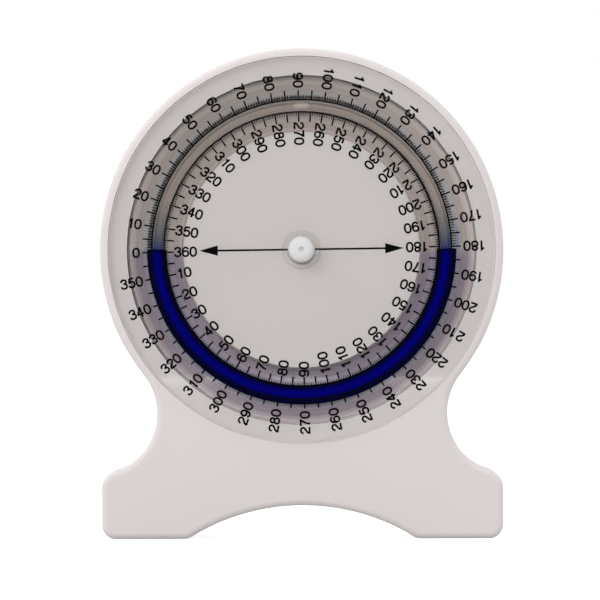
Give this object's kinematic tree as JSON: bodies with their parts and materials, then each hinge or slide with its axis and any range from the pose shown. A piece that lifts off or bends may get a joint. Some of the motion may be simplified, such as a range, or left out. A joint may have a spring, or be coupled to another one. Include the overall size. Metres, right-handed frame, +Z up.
{
  "type": "bubble inclinometer",
  "caption": "Free-standing white plastic angle gauge: a clear turning dial with two circular degree scales and a ring-shaped channel half full of blue liquid that stays level.",
  "frame": {"origin": "on the plane that the feet stand on, below the middle of the object in width and depth", "axes": "+Z up, +X to the right of a person reading the dial, the dial faces -Y"},
  "size_m": [0.102, 0.024, 0.124],
  "materials": {
    "white_abs": "moulded warm white ABS, satin gloss",
    "clear_acrylic": "clear moulded acrylic, polished, printed black on its front",
    "blue_liquid": "dark blue dyed liquid",
    "white_acetal": "bright white acetal, smooth",
    "printed_ink": "black pad-printing ink, on the front of the dial",
    "natural_nylon": "natural nylon, matt",
    "brass": "turned brass",
    "zinc_steel": "zinc-plated steel",
    "spring_steel": "oiled spring steel"
  },
  "bodies": {
    "stand": {"front_housing": "white_abs", "rear_cover": "white_abs", "cover_screws": "zinc_steel", "pivot_bush": "brass", "thrust_washer": "natural_nylon", "rear_washer": "zinc_steel"},
    "dial": {"dial_disc": "clear_acrylic", "channel_ring": "clear_acrylic", "fill_plug": "natural_nylon", "hub_washer": "clear_acrylic", "pivot_pin": "white_acetal", "spring_washer": "spring_steel", "retaining_clip": "spring_steel"},
    "fluid": {"indicator_fluid": "blue_liquid"}
  },
  "joints": [
    {"name": "dial_turn", "type": "hinge", "parent": "stand", "child": "dial", "pos_m": [0, 0, 0.073], "axis": [0, -1, 0], "continuous": true},
    {"name": "fluid_level", "type": "hinge", "parent": "stand", "child": "fluid", "pos_m": [0, 0, 0.073], "axis": [0, -1, 0], "continuous": true}
  ]
}
